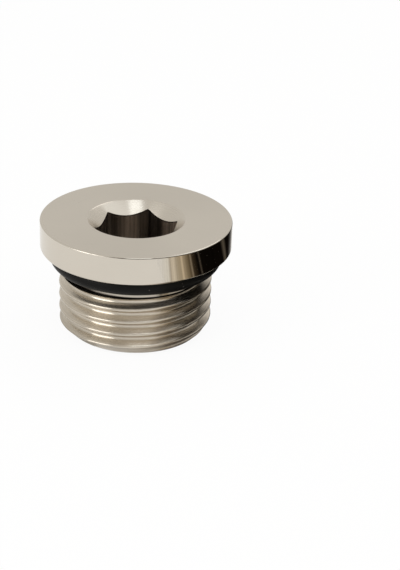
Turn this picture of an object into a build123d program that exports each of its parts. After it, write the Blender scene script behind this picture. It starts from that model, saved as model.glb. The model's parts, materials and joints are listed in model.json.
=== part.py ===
"""Hex socket plug: a flanged screw plug with a G 1/2 pipe thread and an O-ring under its flange.

Millimetres. The origin is the centre of the blind end face, which the plug stands on, and +Z
runs up the axis to the flange, where the hex socket opens. -Y is the front.
"""

import os
from math import cos, radians, sin, tan

from build123d import *

# Flange
flange_diameter = 26.0
flange_thickness = 3.9
flange_top_chamfer = 0.2
flange_bottom_chamfer = 0.3

# Shank: a plain neck under the flange that holds the O-ring, then the thread
overall_height = 15.7
neck_height = 3.6
neck_corner_chamfer = 0.12
shoulder_chamfer = 0.35
end_chamfer = 1.28

# Whitworth pipe thread G 1/2, right-handed, 55 degrees
thread_major_diameter = 20.955
thread_pitch = 1.814
thread_flank_angle = 27.5
thread_start_angle = 155.0

# How far the neck's wall lies inside the thread's root
neck_relief = 0.015

# Hex socket: countersunk mouth, broached hexagon, drilled relief with a conical bottom
hex_sides = 6
hex_across_flats = 10.0
hex_corner_radius = 0.3
hex_depth = 7.0
hex_angle = 16.5
countersink_angle = 90.0
mouth_edge_break = 0.12
drill_tip_angle = 118.0

# How far the countersink reaches past the hexagon's corners, how much narrower than its flats the
# drilled hole is, and how much deeper
countersink_margin = 0.83
drill_undersize = 0.3
chip_room = 1.4

# O-ring, and how closely it sits to the neck and to the flange
ring_section = 2.4
ring_clearance = 0.03

# Thread form as shares of the pitch, from the Whitworth standard
thread_depth = 0.640327 * thread_pitch
rounding_radius = 0.137329 * thread_pitch

# Each crest's and root's rounding is cut as this flat with a chamfer on either side
rounding_flat = 0.07 * thread_pitch

# Worked out from the sizes above
flange_radius = flange_diameter / 2
major_radius = thread_major_diameter / 2
minor_radius = major_radius - thread_depth
neck_radius = minor_radius - neck_relief
end_face_radius = major_radius - end_chamfer
underside_height = overall_height - flange_thickness
shoulder_height = underside_height - neck_height
hex_floor_height = overall_height - hex_depth


def plug_blank():
    """The turned plug before its thread is cut and its socket is made."""
    outline = Polyline(
        (0, 0),
        (end_face_radius, 0),
        (major_radius, end_chamfer),
        (major_radius, shoulder_height - shoulder_chamfer),
        (major_radius - shoulder_chamfer, shoulder_height),
        (neck_radius, shoulder_height),
        (neck_radius, underside_height),
        (flange_radius - flange_bottom_chamfer, underside_height),
        (flange_radius, underside_height + flange_bottom_chamfer),
        (flange_radius, overall_height - flange_top_chamfer),
        (flange_radius - flange_top_chamfer, overall_height),
        (0, overall_height),
        close=True,
    )
    section = make_face(outline)
    inner_corners = [v for v in section.vertices() if abs(v.X - neck_radius) < ring_clearance]
    section = chamfer(inner_corners, neck_corner_chamfer)
    return revolve(Plane.XZ * section, Axis.Z)


def groove_section():
    """The space between two thread crests, as a flat outline: x is the radius, y runs up the axis."""
    flank = radians(thread_flank_angle)
    rounding_depth = rounding_radius * (1 - sin(flank))
    flank_bottom = minor_radius + rounding_depth
    flank_top = major_radius - rounding_depth
    bottom_half_width = rounding_radius * cos(flank)
    top_half_width = bottom_half_width + (flank_top - flank_bottom) * tan(flank)
    mouth_half_width = (thread_pitch - rounding_flat) / 2
    upper_side = [
        (minor_radius, rounding_flat / 2),
        (flank_bottom, bottom_half_width),
        (flank_top, top_half_width),
        (major_radius, mouth_half_width),
        (major_radius + rounding_radius, mouth_half_width),
    ]
    lower_side = [(x, -y) for x, y in reversed(upper_side)]
    return make_face(Polyline(upper_side + lower_side, close=True))


def thread_groove():
    """The helical groove, from below the end face up into the free space beside the neck."""
    start_height = -thread_pitch
    end_height = shoulder_height + thread_pitch
    path = Helix(
        pitch=thread_pitch,
        height=end_height - start_height,
        radius=minor_radius,
        center=(0, 0, start_height),
    )
    section = Pos(0, 0, start_height) * (Plane.XZ * groove_section())
    groove = sweep(section, path=path, is_frenet=True)
    return Rot(0, 0, thread_start_angle) * groove


def socket_tool():
    """What is removed for the key: countersink, hexagon and drilled relief, as one solid."""
    hex_outline = RegularPolygon(hex_across_flats / 2, hex_sides, major_radius=False)
    hex_outline = fillet(hex_outline.vertices(), hex_corner_radius)
    hexagon = Pos(0, 0, hex_floor_height) * Rot(0, 0, hex_angle) * extrude(hex_outline, hex_depth)

    corner_reach = hex_across_flats / 2 / cos(radians(180 / hex_sides))
    sink_radius = corner_reach + countersink_margin
    sink_top = overall_height - mouth_edge_break / 2
    sink_tip = sink_top - sink_radius / tan(radians(countersink_angle / 2))
    sink = Polyline(
        (0, overall_height),
        (sink_radius + mouth_edge_break, overall_height),
        (sink_radius, sink_top),
        (0, sink_tip),
        close=True,
    )

    drill_radius = (hex_across_flats - drill_undersize) / 2
    drill_floor = hex_floor_height - chip_room
    drill_tip = drill_floor - drill_radius / tan(radians(drill_tip_angle / 2))
    drill = Polyline(
        (0, overall_height),
        (drill_radius, overall_height),
        (drill_radius, drill_floor),
        (0, drill_tip),
        close=True,
    )
    turned = [revolve(Plane.XZ * make_face(outline), Axis.Z) for outline in (sink, drill)]
    return hexagon + turned


def plug_body():
    """The one-piece metal plug."""
    return plug_blank() - thread_groove() - socket_tool()


def o_ring():
    """The seal, round the neck and up against the flange's underside."""
    section_radius = ring_section / 2
    centre_radius = neck_radius + ring_clearance + section_radius
    centre_height = underside_height - ring_clearance - section_radius
    return Pos(0, 0, centre_height) * Torus(centre_radius, section_radius)


os.makedirs("parts", exist_ok=True)
for name, make in (("plug_body", plug_body), ("o_ring", o_ring)):
    part = make()
    part.label = name
    export_step(part, f"parts/{name}.step")
    print(name, "solids", len(part.solids()), "volume", round(part.volume, 2), "valid", part.is_valid)
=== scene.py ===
"""Looks of the hex socket plug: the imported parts, finely remeshed and finished, in the photo's view."""

import json
from math import atan, cos, pi, radians, sin, tan

import bmesh
import bpy
import numpy as np
from mathutils import Matrix, Vector


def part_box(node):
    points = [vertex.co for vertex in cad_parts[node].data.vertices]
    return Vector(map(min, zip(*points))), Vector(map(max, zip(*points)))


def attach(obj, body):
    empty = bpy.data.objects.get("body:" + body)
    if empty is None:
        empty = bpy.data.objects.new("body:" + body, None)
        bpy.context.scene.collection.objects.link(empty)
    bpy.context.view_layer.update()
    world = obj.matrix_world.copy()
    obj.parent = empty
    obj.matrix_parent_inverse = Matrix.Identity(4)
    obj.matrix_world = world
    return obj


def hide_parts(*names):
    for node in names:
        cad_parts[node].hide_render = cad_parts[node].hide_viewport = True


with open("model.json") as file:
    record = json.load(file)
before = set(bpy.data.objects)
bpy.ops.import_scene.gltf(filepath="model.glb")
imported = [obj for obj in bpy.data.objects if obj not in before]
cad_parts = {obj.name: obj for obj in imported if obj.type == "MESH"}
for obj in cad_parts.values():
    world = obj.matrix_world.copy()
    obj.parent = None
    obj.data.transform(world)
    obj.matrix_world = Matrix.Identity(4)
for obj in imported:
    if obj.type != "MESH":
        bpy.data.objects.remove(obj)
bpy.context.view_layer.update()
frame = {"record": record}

MM = 0.001

# Colours of the plate: as it is on the open faces, a warmer one in the thread, and three darker ones. Only
# the first is the plate's own colour. The thread's is a painted warm reflection between its turns. The darker
# ones are painted shade under the flange and in the drilled hole, and a nearly black painted dark reflection
# on a strip at the socket's top and on the shoulder under the ring
bright_plate = (0.66, 0.61, 0.535)
thread_plate = (0.68, 0.615, 0.52)
shaded_plate = (0.48, 0.44, 0.38)
drilled_plate = (0.36, 0.33, 0.29)
recess_plate = (0.05, 0.042, 0.035)

# Sizes from the frame, in millimetres
mounts = {mount["name"]: mount for mount in frame["record"]["mounts"]}
_, body_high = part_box("plug_body")
ring_low, ring_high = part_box("o_ring")
overall_height = body_high.z / MM
flange_radius = body_high.x / MM
underside_height = mounts["seal_seat"]["pos_m"][2] / MM
shoulder_height = mounts["port_thread"]["dims"]["length_mm"]
major_radius = mounts["port_thread"]["dims"]["r_mm"]
hex_inner_radius = mounts["hex_socket"]["dims"]["r_mm"]
hex_depth = mounts["hex_socket"]["dims"]["length_mm"]
ring_section = (ring_high.z - ring_low.z) / MM
ring_centre_radius = ring_high.x / MM - ring_section / 2
ring_centre_height = (ring_high.z + ring_low.z) / 2 / MM

# Sizes repeated from the part's source, in millimetres and degrees
neck_corner_rounding = 0.12
neck_relief = 0.015
shoulder_chamfer = 0.35
end_chamfer = 1.28
thread_pitch = 1.814
thread_flank_angle = 27.5
thread_start_angle = 155.0
hex_sides = 6
hex_corner_radius = 0.3
hex_angle = 16.5
countersink_margin = 0.83
mouth_edge_break = 0.12
drill_tip_angle = 118.0
drill_undersize = 0.3
chip_room = 1.4

# Small roundings that the finish gives to the edges
edge_rounding = 0.06
inner_rounding = 0.1
rim_rounding = 0.2
rim_foot_rounding = 0.3
valley_rounding = 0.4
mouth_edge_rounding = 0.03

# Thread form as shares of the pitch, from the Whitworth standard
thread_depth = 0.640327 * thread_pitch
thread_rounding = 0.137329 * thread_pitch

# Worked out from the sizes above
minor_radius = major_radius - thread_depth
neck_radius = minor_radius - neck_relief
end_face_radius = major_radius - end_chamfer
hex_floor_height = overall_height - hex_depth
drill_radius = hex_inner_radius - drill_undersize / 2
drill_floor = hex_floor_height - chip_room
drill_tip = drill_floor - drill_radius / tan(radians(drill_tip_angle / 2))
sink_radius = hex_inner_radius / cos(pi / hex_sides) + countersink_margin
sink_top = overall_height - mouth_edge_break / 2

# A strip this wide along the top of the socket's walls takes the nearly black colour, a painted dark
# reflection
dark_strip_width = 0.15

# The steps of the rim's rounding, from the top, that carry the dark line, a painted dark reflection
dark_line_steps = (4, 5)

# One column of points stands at each of these angles, and the last repeats the first
column_count = 432
angles = np.linspace(0, 2 * pi, column_count + 1)


def hexagon_radius():
    """How far the socket's rounded hexagon lies from the axis, at each column."""
    half_side = pi / hex_sides
    first_flat = radians(hex_angle) + half_side
    off_flat = np.abs((angles - first_flat + half_side) % (2 * half_side) - half_side)
    corner_centre = (hex_inner_radius - hex_corner_radius) / cos(half_side)
    tangent_angle = atan((hex_inner_radius - hex_corner_radius) * tan(half_side) / hex_inner_radius)
    off_corner = half_side - off_flat
    reach = np.maximum(hex_corner_radius**2 - (corner_centre * np.sin(off_corner)) ** 2, 0)
    in_corner = corner_centre * np.cos(off_corner) + np.sqrt(reach)
    return np.where(off_flat > tangent_angle, in_corner, hex_inner_radius / np.cos(off_flat))


def rounded_rows(corners):
    """Rows along an outline, as (finish, (radius, height)).

    A corner is (finish of what follows, radius, height, rounding, steps of its arc).
    """
    points = [np.stack([r + 0 * angles, z + 0 * angles]) for _, r, z, _, _ in corners]
    rows = []
    for index, (finish, _, _, rounding, steps) in enumerate(corners):
        here = points[index]
        if not rounding:
            rows.append((finish, here))
            continue
        back = points[index - 1] - here
        back /= np.linalg.norm(back, axis=0)
        on = points[index + 1] - here
        on /= np.linalg.norm(on, axis=0)
        half = np.arccos(np.clip((back * on).sum(0), -1, 1)) / 2
        middle = (back + on) / np.linalg.norm(back + on, axis=0)
        centre = here + middle * rounding / np.sin(half)
        first = here + back * rounding / np.tan(half) - centre
        last = here + on * rounding / np.tan(half) - centre
        turn = pi - 2 * half
        for step in range(steps + 1):
            share = step / steps
            arm = (first * np.sin((1 - share) * turn) + last * np.sin(share * turn)) / np.sin(turn)
            rows.append((finish, centre + arm))
    return rows


def thread_radius(height):
    """Radius of the Whitworth form at a height above a valley, with crests and fuller valleys rounded."""
    flank = radians(thread_flank_angle)
    off_valley = np.abs((height + thread_pitch / 2) % thread_pitch - thread_pitch / 2)
    off_crest = thread_pitch / 2 - off_valley
    crest = major_radius - thread_rounding + np.sqrt(np.maximum(thread_rounding**2 - off_crest**2, 0))
    arc_half_width = thread_rounding * cos(flank)
    flank_bottom = minor_radius + thread_rounding * (1 - sin(flank))
    slope = flank_bottom + (off_valley - arc_half_width) / tan(flank)
    radius = np.where(off_crest < arc_half_width, crest, slope)
    valley_floor = minor_radius + (valley_rounding - thread_rounding) * (1 / sin(flank) - 1)
    root = valley_floor + valley_rounding - np.sqrt(np.maximum(valley_rounding**2 - off_valley**2, 0))
    return np.where(off_valley < valley_rounding * cos(flank), root, radius)


def thread_rows():
    """Rows of (radius, height) that follow the helix, from the shoulder down to the end face's edge."""
    arc_steps = 6
    flank_turn = pi / 2 - radians(thread_flank_angle)
    arc = [sin(flank_turn * (2 * k / arc_steps - 1)) for k in range(arc_steps + 1)]
    half_pitch = thread_pitch / 2
    one_pitch = [valley_rounding * z for z in arc] + [half_pitch + thread_rounding * z for z in arc]
    spare_turns = 2
    turns = int(shoulder_height / thread_pitch) + spare_turns + 1
    along = np.array([z + turn * thread_pitch for turn in range(-spare_turns, turns) for z in one_pitch])
    rise = thread_pitch * (angles - radians(thread_start_angle)) / (2 * pi)

    # The rounding between the end chamfer and the end face begins at this height
    bottom = edge_rounding * tan(pi / 8) * sin(pi / 4)
    height = np.clip(along[::-1, None] + rise, bottom, shoulder_height)

    def blank(z):
        at_end = end_face_radius + z
        at_shoulder = major_radius - shoulder_chamfer + (shoulder_height - z)
        return np.minimum(np.minimum(at_end, at_shoulder), major_radius)

    def excess(z):
        return thread_radius(z - rise) - blank(z)

    # Where the thread meets a chamfer between two rows, the nearer row moves onto the crossing
    over = excess(height)
    for row in range(len(height) - 1):
        crosses = (over[row] > 0) != (over[row + 1] > 0)
        gap = over[row] - over[row + 1]
        share = np.where(crosses, over[row] / np.where(gap == 0, 1, gap), 0)
        crossing = height[row] + share * (height[row + 1] - height[row])
        height[row] = np.where(crosses & (share < 0.5), crossing, height[row])
        height[row + 1] = np.where(crosses & (share >= 0.5), crossing, height[row + 1])
    radius = np.minimum(thread_radius(height - rise), blank(height))
    return [("thread", np.stack([r, z])) for r, z in zip(radius, height)]


def lathe_mesh(name, rows, materials):
    """A closed mesh from rows of (finish, (radius, height)) that run round the axis."""
    finishes = sorted({finish for finish, _ in rows})
    points = np.array([row for _, row in rows])
    radius, height = points[:, 0], points[:, 1]
    places = np.stack([radius * np.cos(angles), radius * np.sin(angles), height], axis=-1) * MM
    row_count, width = radius.shape
    number = np.arange(row_count * width).reshape(row_count, width)
    corners = [number[:-1, :-1], number[1:, :-1], number[1:, 1:], number[:-1, 1:]]
    faces = np.stack(corners, axis=-1).reshape(-1, 4)
    mesh = bpy.data.meshes.new(name)
    mesh.from_pydata(places.reshape(-1, 3).tolist(), [], faces.tolist())
    for finish in finishes:
        mesh.materials.append(materials[finish])
    slots = [finishes.index(finish) for finish, _ in rows[:-1]]
    mesh.polygons.foreach_set("material_index", np.repeat(slots, width - 1))
    return mesh


def weld(mesh, reach=1e-4 * MM, sharp_from=32.0):
    """Joins the seam and the poles, drops the faces that close up, and shades smooth between sharp edges."""
    work = bmesh.new()
    work.from_mesh(mesh)
    bmesh.ops.remove_doubles(work, verts=work.verts, dist=reach)
    bmesh.ops.dissolve_degenerate(work, edges=work.edges, dist=reach)
    bmesh.ops.recalc_face_normals(work, faces=work.faces)
    for face in work.faces:
        face.smooth = True
    for edge in work.edges:
        edge.smooth = edge.calc_face_angle(0) < radians(sharp_from)
    work.to_mesh(mesh)
    work.free()
    return mesh


def add_piece(name, mesh, node):
    """Puts a mesh in the scene in place of its CAD node."""
    piece = bpy.data.objects.new(name, mesh)
    bpy.context.scene.collection.objects.link(piece)
    weighted = piece.modifiers.new("face_normals", "WEIGHTED_NORMAL")
    weighted.keep_sharp = True
    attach(piece, "root")
    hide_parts(node)
    return piece


def plug_mesh(materials):
    """The metal plug as one closed surface, from the socket's bottom over the flange to the end face."""
    hex_radius = hexagon_radius()
    scallop_height = sink_top - (sink_radius - hex_radius)
    upper = rounded_rows([
        ("drilled", 0, drill_tip, 0, 0),
        ("drilled", drill_radius, drill_floor, inner_rounding, 4),
        ("socket", drill_radius, hex_floor_height, edge_rounding, 3),
        ("socket", hex_radius, hex_floor_height, inner_rounding, 4),
        # Nearly black strip at the top of the walls: a painted dark reflection
        ("recess", hex_radius, scallop_height - dark_strip_width, 0, 0),
        ("sink", hex_radius, scallop_height, edge_rounding, 3),
        ("sink", sink_radius, sink_top, mouth_edge_rounding, 2),
        ("face", sink_radius + mouth_edge_break, overall_height, edge_rounding, 3),
        ("rim", flange_radius, overall_height, rim_rounding, 7),
        ("rim", flange_radius, underside_height, rim_foot_rounding, 9),
        ("neck", neck_radius, underside_height, neck_corner_rounding, 4),
        # The shoulder below the neck is nearly black: a painted dark reflection of the ring above it
        ("recess", neck_radius, shoulder_height, neck_corner_rounding, 4),
        ("thread", major_radius, shoulder_height, 0, 0),
    ])
    first_of_edge = next(k for k, (finish, _) in enumerate(upper) if finish == "rim")
    for k in dark_line_steps:
        upper[first_of_edge + k] = ("edge", upper[first_of_edge + k][1])
    end = rounded_rows([
        ("thread", end_face_radius + end_chamfer, end_chamfer, 0, 0),
        ("face", end_face_radius, 0, edge_rounding, 3),
        ("face", 0, 0, 0, 0),
    ])
    return weld(lathe_mesh("plug_metal", upper[:-1] + thread_rows() + end[1:], materials))


def ring_mesh(materials):
    """The O-ring: a torus whose section is a fine polygon."""
    section_steps = 48
    turn = np.linspace(0, 2 * pi, section_steps + 1)
    radius = ring_centre_radius + ring_section / 2 * np.cos(turn)
    height = ring_centre_height + ring_section / 2 * np.sin(turn)
    rows = [("rubber", np.stack([r + 0 * angles, z + 0 * angles])) for r, z in zip(radius, height)]
    return weld(lathe_mesh("seal_ring", rows, materials))


def add_node(tree, kind, inputs=None, **settings):
    """Adds a shader node. An input is a value, or another node's output to link to."""
    node = tree.nodes.new(kind)
    for key, value in settings.items():
        setattr(node, key, value)
    for key, value in (inputs or {}).items():
        if isinstance(value, bpy.types.NodeSocket):
            tree.links.new(value, node.inputs[key])
        else:
            node.inputs[key].default_value = value
    return node


def new_material(name):
    """An empty node material and its Principled shader."""
    material = bpy.data.materials.new(name)
    material.use_nodes = True
    tree = material.node_tree
    return material, tree, tree.nodes["Principled BSDF"]


def finish_ramp(node, stops):
    """Sets a colour ramp from (position, colour)."""
    elements = node.color_ramp.elements
    while len(elements) < len(stops):
        elements.new(1.0)
    for element, (position, colour) in zip(elements, stops):
        element.position = position
        element.color = (*colour, 1)


def nickel(name, roughness, marks_along, mark_depth, mottle,
           spread_across=0.6, plate=bright_plate, contrast=0.04):
    """Nickel plate on turned brass. Its tool marks run round the axis, spaced along 'radius' or 'height'.

    mark_depth is the tool marks' depth in metres, mottle is how unevenly the plate shines, from 0,
    spread_across is how far the marks spread a highlight across themselves, and contrast is how much
    darker than the plate's colour the marks get.
    """
    dark = [channel * (1 - contrast) for channel in plate]
    material, tree, shader = new_material(name)
    place = add_node(tree, "ShaderNodeTexCoord").outputs["Object"]
    apart = add_node(tree, "ShaderNodeSeparateXYZ", {"Vector": place})
    flat = add_node(tree, "ShaderNodeVectorMath", {0: place, 1: (1, 1, 0)}, operation="MULTIPLY")
    radius = add_node(tree, "ShaderNodeVectorMath", {0: flat.outputs[0]}, operation="LENGTH")
    along = radius.outputs["Value"] if marks_along == "radius" else apart.outputs["Z"]

    # The marks wander a little, so they aren't perfect circles
    wander_reach = 0.1 * MM
    wander = add_node(tree, "ShaderNodeTexNoise", {"Vector": place, "Scale": 90, "Detail": 1})
    drift = add_node(tree, "ShaderNodeMath", {
        0: wander.outputs["Fac"], 1: wander_reach}, operation="MULTIPLY")
    course = add_node(tree, "ShaderNodeMath", {0: along, 1: drift.outputs[0]})
    marks = add_node(tree, "ShaderNodeTexNoise", {
        "W": course.outputs[0], "Scale": 7000, "Detail": 4, "Roughness": 0.7}, noise_dimensions="1D")
    clouds = add_node(tree, "ShaderNodeTexNoise", {"Vector": place, "Scale": 160, "Detail": 3})
    blend = add_node(tree, "ShaderNodeMath", {0: marks.outputs["Fac"], 1: clouds.outputs["Fac"]})
    halved = add_node(tree, "ShaderNodeMath", {0: blend.outputs[0], 1: 0.5}, operation="MULTIPLY")
    tint = add_node(tree, "ShaderNodeValToRGB", {"Fac": halved.outputs[0]})
    finish_ramp(tint, [(0.35, dark), (0.65, plate)])
    tree.links.new(tint.outputs["Color"], shader.inputs["Base Color"])

    spread = add_node(tree, "ShaderNodeMapRange", {
        "Value": halved.outputs[0], "From Min": 0.3, "From Max": 0.7,
        "To Min": roughness * (1 - mottle), "To Max": roughness * (1 + mottle)})
    tree.links.new(spread.outputs["Result"], shader.inputs["Roughness"])

    bump = add_node(tree, "ShaderNodeBump", {
        "Height": marks.outputs["Fac"], "Strength": 1.0, "Distance": mark_depth})
    tree.links.new(bump.outputs["Normal"], shader.inputs["Normal"])
    shader.inputs["Metallic"].default_value = 1

    shader.inputs["Anisotropic"].default_value = spread_across
    shader.inputs["Anisotropic Rotation"].default_value = 0.25
    tangent = add_node(tree, "ShaderNodeTangent", direction_type="RADIAL", axis="Z")
    tree.links.new(tangent.outputs["Tangent"], shader.inputs["Tangent"])
    return material


def shade_towards_end(material, full_height, shaded_height, share):
    """Paints shade into a material's colour towards the plug's end: it darkens from full_height down to the
    lower height given, in metres.
    """
    tree = material.node_tree
    shader = tree.nodes["Principled BSDF"]
    place = add_node(tree, "ShaderNodeTexCoord").outputs["Object"]
    apart = add_node(tree, "ShaderNodeSeparateXYZ", {"Vector": place})
    amount = add_node(tree, "ShaderNodeMapRange", {
        "Value": apart.outputs["Z"], "From Min": shaded_height, "From Max": full_height, "To Min": share})
    colour = shader.inputs["Base Color"].links[0].from_socket
    end_shaded = add_node(tree, "ShaderNodeVectorMath", {
        0: colour, "Scale": amount.outputs["Result"]}, operation="SCALE")
    tree.links.new(end_shaded.outputs["Vector"], shader.inputs["Base Color"])
    return material


def edge_with_dark_reflection():
    """The flange's top edge: bright plate with a thin dark line along part of it, a painted dark reflection.
    """
    dark_line_side = direction(-20, 0)
    patch_reach = 6 * MM
    clear_until = 1.5 * MM
    dark_from = 6.5 * MM
    material, tree, shader = new_material("nickel_edge")
    place = add_node(tree, "ShaderNodeTexCoord").outputs["Object"]
    across = add_node(tree, "ShaderNodeVectorMath", {0: place, 1: dark_line_side}, operation="DOT_PRODUCT")
    patches = add_node(tree, "ShaderNodeTexNoise", {"Vector": place, "Scale": 1400, "Detail": 4})
    uneven = add_node(tree, "ShaderNodeMath", {
        0: patches.outputs["Fac"], 1: patch_reach, 2: across.outputs["Value"]}, operation="MULTIPLY_ADD")
    amount = add_node(tree, "ShaderNodeMapRange", {
        "Value": uneven.outputs[0], "From Min": clear_until, "From Max": dark_from})
    tint = add_node(tree, "ShaderNodeValToRGB", {"Fac": amount.outputs["Result"]})
    finish_ramp(tint, [(0.0, (0.64, 0.59, 0.52)), (1.0, (0.10, 0.08, 0.06))])
    tree.links.new(tint.outputs["Color"], shader.inputs["Base Color"])
    shader.inputs["Metallic"].default_value = 1
    shader.inputs["Roughness"].default_value = 0.25
    return material


def broached_shaded_nickel():
    """The socket's walls, with marks of the broach: a painted shade makes them dark."""
    stretch = (1, 1, 0.03)
    material, tree, shader = new_material("nickel_socket")
    place = add_node(tree, "ShaderNodeTexCoord").outputs["Object"]
    drawn_out = add_node(tree, "ShaderNodeVectorMath", {0: place, 1: stretch}, operation="MULTIPLY")
    streaks = add_node(tree, "ShaderNodeTexNoise", {
        "Vector": drawn_out.outputs[0], "Scale": 1500, "Detail": 4, "Roughness": 0.65})
    broad = add_node(tree, "ShaderNodeTexNoise", {"Vector": drawn_out.outputs[0], "Scale": 330, "Detail": 1})
    blend = add_node(tree, "ShaderNodeMath", {0: streaks.outputs["Fac"], 1: broad.outputs["Fac"]})
    halved = add_node(tree, "ShaderNodeMath", {0: blend.outputs[0], 1: 0.5}, operation="MULTIPLY")
    tint = add_node(tree, "ShaderNodeValToRGB", {"Fac": halved.outputs[0]})
    finish_ramp(tint, [(0.38, (0.27, 0.225, 0.185)), (0.5, (0.55, 0.465, 0.395)), (0.62, (0.9, 0.76, 0.66))])

    # Painted light and shade in bands over the walls, from left to right
    apart = add_node(tree, "ShaderNodeSeparateXYZ", {"Vector": place})
    reach = 6 * MM
    across = add_node(tree, "ShaderNodeMapRange", {
        "Value": apart.outputs["X"], "From Min": -reach, "From Max": reach})
    painted_light_bands = add_node(tree, "ShaderNodeValToRGB", {"Fac": across.outputs["Result"]})
    painted_light_bands.color_ramp.interpolation = "EASE"
    finish_ramp(painted_light_bands, [(share, (amount, amount, amount)) for share, amount in (
        (0.24, 0.42), (0.35, 0.95), (0.47, 0.85), (0.53, 0.28), (0.75, 0.3), (0.81, 1.2), (0.9, 1.6))])
    banded_tint = add_node(tree, "ShaderNodeVectorMath", {
        0: tint.outputs["Color"], 1: painted_light_bands.outputs["Color"]}, operation="MULTIPLY")
    tree.links.new(banded_tint.outputs["Vector"], shader.inputs["Base Color"])
    bump = add_node(tree, "ShaderNodeBump", {
        "Height": streaks.outputs["Fac"], "Strength": 1.0, "Distance": 0.00001})
    tree.links.new(bump.outputs["Normal"], shader.inputs["Normal"])
    shader.inputs["Metallic"].default_value = 1
    shader.inputs["Roughness"].default_value = 0.34
    return material


def rubber():
    """Satin black nitrile rubber with a few specks of dust."""
    material, tree, shader = new_material("black_rubber_satin")
    place = add_node(tree, "ShaderNodeTexCoord").outputs["Object"]
    grain = add_node(tree, "ShaderNodeTexNoise", {"Vector": place, "Scale": 2500, "Detail": 4})
    bloom = add_node(tree, "ShaderNodeTexNoise", {"Vector": place, "Scale": 300, "Detail": 3})
    tint = add_node(tree, "ShaderNodeValToRGB", {"Fac": bloom.outputs["Fac"]})
    finish_ramp(tint, [(0.3, (0.0035, 0.0035, 0.003)), (0.7, (0.007, 0.0065, 0.006))])
    specks = add_node(tree, "ShaderNodeTexVoronoi", {"Vector": place, "Scale": 900})
    dust = add_node(tree, "ShaderNodeMapRange", {
        "Value": specks.outputs["Distance"], "From Min": 0.05, "From Max": 0.09,
        "To Min": 0.7, "To Max": 0.0})
    colour = add_node(tree, "ShaderNodeMix", {
        "Factor": dust.outputs["Result"], "A": tint.outputs["Color"], "B": (0.10, 0.09, 0.08, 1)},
        data_type="RGBA")
    tree.links.new(colour.outputs["Result"], shader.inputs["Base Color"])
    spread = add_node(tree, "ShaderNodeMapRange", {
        "Value": bloom.outputs["Fac"], "To Min": 0.34, "To Max": 0.5})
    tree.links.new(spread.outputs["Result"], shader.inputs["Roughness"])
    shader.inputs["Specular IOR Level"].default_value = 0.1
    bump = add_node(tree, "ShaderNodeBump", {
        "Height": grain.outputs["Fac"], "Strength": 0.3, "Distance": 0.00002})
    tree.links.new(bump.outputs["Normal"], shader.inputs["Normal"])
    return material


def set_world():
    """A plain pale grey room, a little warm, which the metal shows and which lights it softly."""
    world = bpy.data.worlds.new("studio")
    bpy.context.scene.world = world
    world.use_nodes = True
    background = world.node_tree.nodes["Background"]
    background.inputs["Color"].default_value = (0.74, 0.725, 0.695, 1)
    background.inputs["Strength"].default_value = 1


def lying_sheet(first_x, last_x, first_y, last_y, z):
    """Corners of a level sheet."""
    return [(first_x, first_y, z), (last_x, first_y, z), (last_x, last_y, z), (first_x, last_y, z)]


def standing_sheet(x, first_y, last_y, low, high):
    """Corners of an upright sheet that faces along X."""
    return [(x, first_y, low), (x, last_y, low), (x, last_y, high), (x, first_y, high)]


def add_sheet(name, corners, material):
    """A flat stage piece from its corners, in millimetres."""
    mesh = bpy.data.meshes.new(name)
    mesh.from_pydata([Vector(corner) * MM for corner in corners], [], [tuple(range(len(corners)))])
    mesh.materials.append(material)
    sheet = bpy.data.objects.new(name, mesh)
    bpy.context.scene.collection.objects.link(sheet)
    return sheet


def shine_with(tree, colour):
    """Makes a material give off a colour and nothing else. It is a value or another node's output."""
    shine = add_node(tree, "ShaderNodeEmission", {"Color": colour})
    tree.links.new(shine.outputs[0], tree.nodes["Material Output"].inputs["Surface"])


def add_floor():
    """A plain white floor. It is nearly white to the eye, and the metal shows more of its shading."""
    half_width = 1500
    seen_by_eye = 0.93
    seen_in_metal = 0.2
    material, tree, shader = new_material("floor_white")
    shader.inputs["Base Color"].default_value = (1, 1, 1, 1)
    shader.inputs["Roughness"].default_value = 1
    shader.inputs["Specular IOR Level"].default_value = 0
    path = add_node(tree, "ShaderNodeLightPath")
    mirrored = add_node(tree, "ShaderNodeMath", {
        0: path.outputs["Is Glossy Ray"], 1: path.outputs["Is Transmission Ray"]}, operation="MAXIMUM")
    in_metal = add_node(tree, "ShaderNodeMath", {
        0: mirrored.outputs[0], 1: seen_in_metal}, operation="MULTIPLY")
    by_eye = add_node(tree, "ShaderNodeMath", {
        0: path.outputs["Is Camera Ray"], 1: seen_by_eye}, operation="MULTIPLY")
    glow = add_node(tree, "ShaderNodeMath", {
        0: in_metal.outputs[0], 1: by_eye.outputs[0]}, operation="MAXIMUM")
    even = add_node(tree, "ShaderNodeEmission", {"Color": (1, 1, 1, 1), "Strength": 1.0})
    mixed = add_node(tree, "ShaderNodeMixShader", {
        0: glow.outputs[0], 1: shader.outputs[0], 2: even.outputs[0]})
    tree.links.new(mixed.outputs[0], tree.nodes["Material Output"].inputs["Surface"])
    add_sheet("floor", lying_sheet(-half_width, half_width, -half_width, half_width, 0), material)


def reflection_only(sheet):
    """The sheet shows in the metal alone: the camera doesn't see it, and it takes no light away."""
    sheet.visible_camera = False
    sheet.visible_diffuse = False
    sheet.visible_shadow = False


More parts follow.
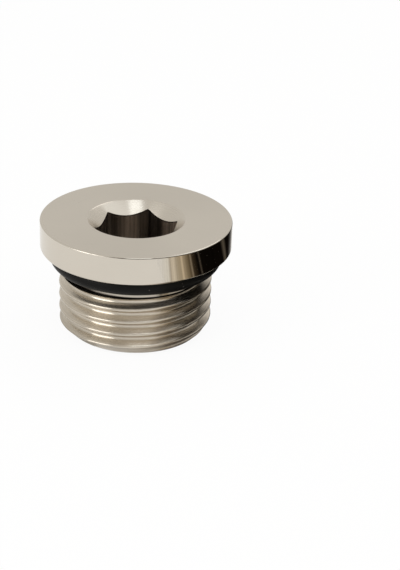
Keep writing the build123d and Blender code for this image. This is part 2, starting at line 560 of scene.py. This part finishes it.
def add_side_card():
    """A card right of the plug that glows, seen only in the metal: a painted reflection of a second plug
    beside it, as dark as that plug, with warm streaks at its near end. A card right of the plug, as dark
    as the photo's second plug, with warm streaks at its near end.
    """
    card = standing_sheet(14.5, first_y=-34.0, last_y=12.0, low=4.2, high=15.6)
    lean = 0.5
    material, tree, _ = new_material("side_card")
    place = add_node(tree, "ShaderNodeTexCoord").outputs["Object"]
    apart = add_node(tree, "ShaderNodeSeparateXYZ", {"Vector": place})
    leaning = add_node(tree, "ShaderNodeMath", {
        0: apart.outputs["Z"], 1: lean, 2: apart.outputs["Y"]}, operation="MULTIPLY_ADD")
    start, end = -28.0, -4.0
    along = add_node(tree, "ShaderNodeMapRange", {
        "Value": leaning.outputs[0], "From Min": start * MM, "From Max": end * MM})
    shade = add_node(tree, "ShaderNodeValToRGB", {"Fac": along.outputs["Result"]})
    finish_ramp(shade, [
        (0.00, (0.94, 0.94, 0.93)),
        (0.36, (0.90, 0.88, 0.82)),
        (0.43, (0.55, 0.49, 0.40)),
        (0.51, (0.84, 0.76, 0.63)),
        (0.62, (0.50, 0.43, 0.32)),
        (0.74, (0.44, 0.36, 0.25)),
        (0.82, (0.17, 0.13, 0.08)),
        (0.88, (0.05, 0.035, 0.02)),
        (0.95, (0.004, 0.003, 0.002)),
    ])

    # Painted reflections of the second plug's thread: fine streaks, then four broader ones as (centre, half
    # width, radiance added)
    fine = add_node(tree, "ShaderNodeTexNoise", {
        "W": leaning.outputs[0], "Scale": 1100, "Detail": 2}, noise_dimensions="1D")
    grain = add_node(tree, "ShaderNodeMapRange", {
        "Value": fine.outputs["Fac"], "From Min": 0.3, "From Max": 0.7, "To Min": 0.8, "To Max": 1.15})
    grained = add_node(tree, "ShaderNodeVectorMath", {
        0: shade.outputs["Color"], "Scale": grain.outputs["Result"]}, operation="SCALE")
    colour = grained.outputs["Vector"]
    warm_tone = (1, 0.85, 0.65)
    streaks = ((-10.9, 0.7, 0.3), (-7.3, 0.45, 0.24), (-4.4, 0.35, 0.08), (3.4, 0.9, 0.1))
    for centre, half_width, added in streaks:
        off = add_node(tree, "ShaderNodeMath", {0: leaning.outputs[0], 1: centre * MM}, operation="SUBTRACT")
        far = add_node(tree, "ShaderNodeMath", {0: off.outputs[0]}, operation="ABSOLUTE")
        line = add_node(tree, "ShaderNodeMapRange", {
            "Value": far.outputs[0], "From Min": 0.0, "From Max": half_width * MM,
            "To Min": added, "To Max": 0.0})
        warm = add_node(tree, "ShaderNodeVectorMath", {
            0: warm_tone, "Scale": line.outputs["Result"]}, operation="SCALE")
        lit = add_node(tree, "ShaderNodeVectorMath", {0: colour, 1: warm.outputs["Vector"]}, operation="ADD")
        colour = lit.outputs["Vector"]

    # The far end fades back to the room's tone, so the rim has no hard dark edge seen from the right
    fade_first, fade_last = -1.0, 9.0
    fade = add_node(tree, "ShaderNodeMapRange", {
        "Value": apart.outputs["Y"], "From Min": fade_first * MM, "From Max": fade_last * MM},
        interpolation_type="SMOOTHSTEP")
    faded = add_node(tree, "ShaderNodeMix", {
        "Factor": fade.outputs["Result"], "A": colour, "B": (0.9, 0.88, 0.85, 1)}, data_type="RGBA")
    shine_with(tree, faded.outputs["Result"])
    reflection_only(add_sheet("side_card", card, material))


def add_pale_card():
    """A low pale card in front of the side card, where a second plug turned its bright end: it glows, a
    painted reflection of that end seen only in the metal. A low pale card in front of the side card,
    where the photo's second plug turns its bright end.
    """
    card = standing_sheet(14.3, first_y=-14.0, last_y=-1.0, low=4.8, high=6.4)
    material, tree, _ = new_material("pale_card")
    shine_with(tree, (0.66, 0.63, 0.57, 1))
    reflection_only(add_sheet("pale_card", card, material))


def add_painted_shade_sheet():
    """A sheet on the floor right of the plug that glows, seen only in the metal: a painted shade of a second
    plug and its shadow, white at its front left and black at its back right.
    """
    shade_corners = lying_sheet(first_x=-5, last_x=40, first_y=-30, last_y=20, z=0.02)
    material, tree, _ = new_material("painted_shade_sheet")
    place = add_node(tree, "ShaderNodeTexCoord").outputs["Object"]
    darkens_along = direction(37, 0)
    across = add_node(tree, "ShaderNodeVectorMath", {0: place, 1: darkens_along}, operation="DOT_PRODUCT")
    first, last = -9.0, 5.0
    along = add_node(tree, "ShaderNodeMapRange", {
        "Value": across.outputs["Value"], "From Min": first * MM, "From Max": last * MM})
    shade = add_node(tree, "ShaderNodeValToRGB", {"Fac": along.outputs["Result"]})
    finish_ramp(shade, [
        (0.0, (0.95, 0.95, 0.95)),
        (0.3, (0.70, 0.66, 0.60)),
        (0.58, (0.20, 0.17, 0.14)),
        (1.0, (0.01, 0.01, 0.01)),
    ])

    # The left edge fades to the floor's tone, so the end chamfer has no hard dark edge seen from behind
    apart = add_node(tree, "ShaderNodeSeparateXYZ", {"Vector": place})
    fade_first, fade_last = -4.5, 7.0
    fade = add_node(tree, "ShaderNodeMapRange", {
        "Value": apart.outputs["X"], "From Min": fade_first * MM, "From Max": fade_last * MM,
        "To Min": 1.0, "To Max": 0.0}, interpolation_type="SMOOTHSTEP")
    faded = add_node(tree, "ShaderNodeMix", {
        "Factor": fade.outputs["Result"], "A": shade.outputs["Color"], "B": (0.95, 0.95, 0.95, 1)},
        data_type="RGBA")
    shine_with(tree, faded.outputs["Result"])
    reflection_only(add_sheet("painted_shade_sheet", shade_corners, material))


def direction(azimuth, elevation):
    """Unit vector. Azimuth 0 is +X and -90 is the front."""
    a, e = radians(azimuth), radians(elevation)
    return Vector((cos(a) * cos(e), sin(a) * cos(e), sin(e)))


def add_softbox(name, azimuth, elevation, width, height, radiance, colour=(1, 1, 1)):
    """An area lamp that faces the plug. Lengths are in metres, and a radiance of 1 looks white."""
    distance = 0.45
    lamp = bpy.data.lights.new(name, "AREA")
    lamp.shape = "RECTANGLE"
    lamp.size = width
    lamp.size_y = height
    lamp.energy = radiance * pi * width * height
    lamp.color = colour
    box = bpy.data.objects.new(name, lamp)
    bpy.context.scene.collection.objects.link(box)
    away = direction(azimuth, elevation)
    box.location = away * distance
    box.rotation_mode = "QUATERNION"
    box.rotation_quaternion = away.to_track_quat("Z", "Y")
    box.visible_camera = False


def add_camera():
    """The photo's viewpoint, found by fitting a pinhole camera to the plug's outlines."""
    aim = Vector((8.905, 0, 6.031)) * MM
    distance = 200 * MM
    elevation = radians(25.73)
    roll = radians(2.12)
    lens_mm = 91.64
    camera = bpy.data.cameras.new("camera")
    camera.lens = lens_mm
    camera.sensor_width = 36
    camera.clip_start = 0.01
    holder = bpy.data.objects.new("camera", camera)
    bpy.context.scene.collection.objects.link(holder)
    back = Vector((0, -cos(elevation), sin(elevation)))
    turn = Matrix.Rotation(pi / 2 - elevation, 4, "X") @ Matrix.Rotation(roll, 4, "Z")
    holder.matrix_world = Matrix.Translation(aim + back * distance) @ turn
    bpy.context.scene.camera = holder


def build():
    """Makes the scene."""
    # The thread's plate is a painted warmer tone, standing for the reflection between its turns
    thread = nickel("nickel_thread", roughness=0.24, marks_along="radius", mark_depth=0.0000004,
                    mottle=0.12, spread_across=0.85, plate=thread_plate, contrast=0.24)
    materials = {
        "face": nickel(
            "nickel_face", roughness=0.3, marks_along="radius", mark_depth=0.0000008, mottle=0.1),
        "rim": nickel(
            "nickel_rim", roughness=0.1, marks_along="height", mark_depth=0.0000006, mottle=0.3),
        # The edge finish carries a painted dark reflection along the rim's top
        "edge": edge_with_dark_reflection(),
        # The neck takes a darker copy of the plate, a painted shade under the flange
        "neck": nickel(
            "nickel_neck", roughness=0.12, marks_along="height", mark_depth=0.000001, mottle=0.3,
            plate=shaded_plate),
        # The nearly black recess colour is a painted dark reflection on the socket's top strip and the
        # shoulder
        "recess": nickel(
            "nickel_recess", roughness=0.3, marks_along="radius", mark_depth=0.0000005, mottle=0.1,
            plate=recess_plate),
        # The thread darkens towards the plug's end: painted shade near the floor
        "thread": shade_towards_end(thread, full_height=1.5 * MM, shaded_height=1.1 * MM, share=0.75),
        "sink": nickel(
            "nickel_sink", roughness=0.28, marks_along="radius", mark_depth=0.0000003, mottle=0.1,
            spread_across=0.7),
        # The socket's walls are dark, with bands of painted shade and light
        "socket": broached_shaded_nickel(),
        # The drilled hole takes a darker copy of the plate, a painted shade deep in the socket
        "drilled": nickel(
            "nickel_drilled", roughness=0.36, marks_along="radius", mark_depth=0.000002, mottle=0.2,
            plate=drilled_plate, contrast=0.2),
        "rubber": rubber(),
    }
    add_piece("plug_metal", plug_mesh(materials), "plug_body")
    add_piece("seal_ring", ring_mesh(materials), "o_ring")
    set_world()
    add_floor()
    add_side_card()
    add_pale_card()
    add_painted_shade_sheet()
    daylight = (0.86, 0.93, 1)
    add_softbox("left_softbox", azimuth=-142, elevation=20, width=0.27, height=0.27, radiance=2.2)
    add_softbox("top_softbox", azimuth=-81, elevation=67.5, width=0.16, height=0.12, radiance=1.9,
                colour=daylight)
    add_softbox("right_softbox", azimuth=-25, elevation=50, width=0.6, height=0.28, radiance=0.42,
                colour=daylight)
    add_softbox("far_softbox", azimuth=56, elevation=50, width=0.14, height=0.2, radiance=1.1)
    add_camera()
    bpy.context.scene.view_settings.view_transform = "Standard"


build()
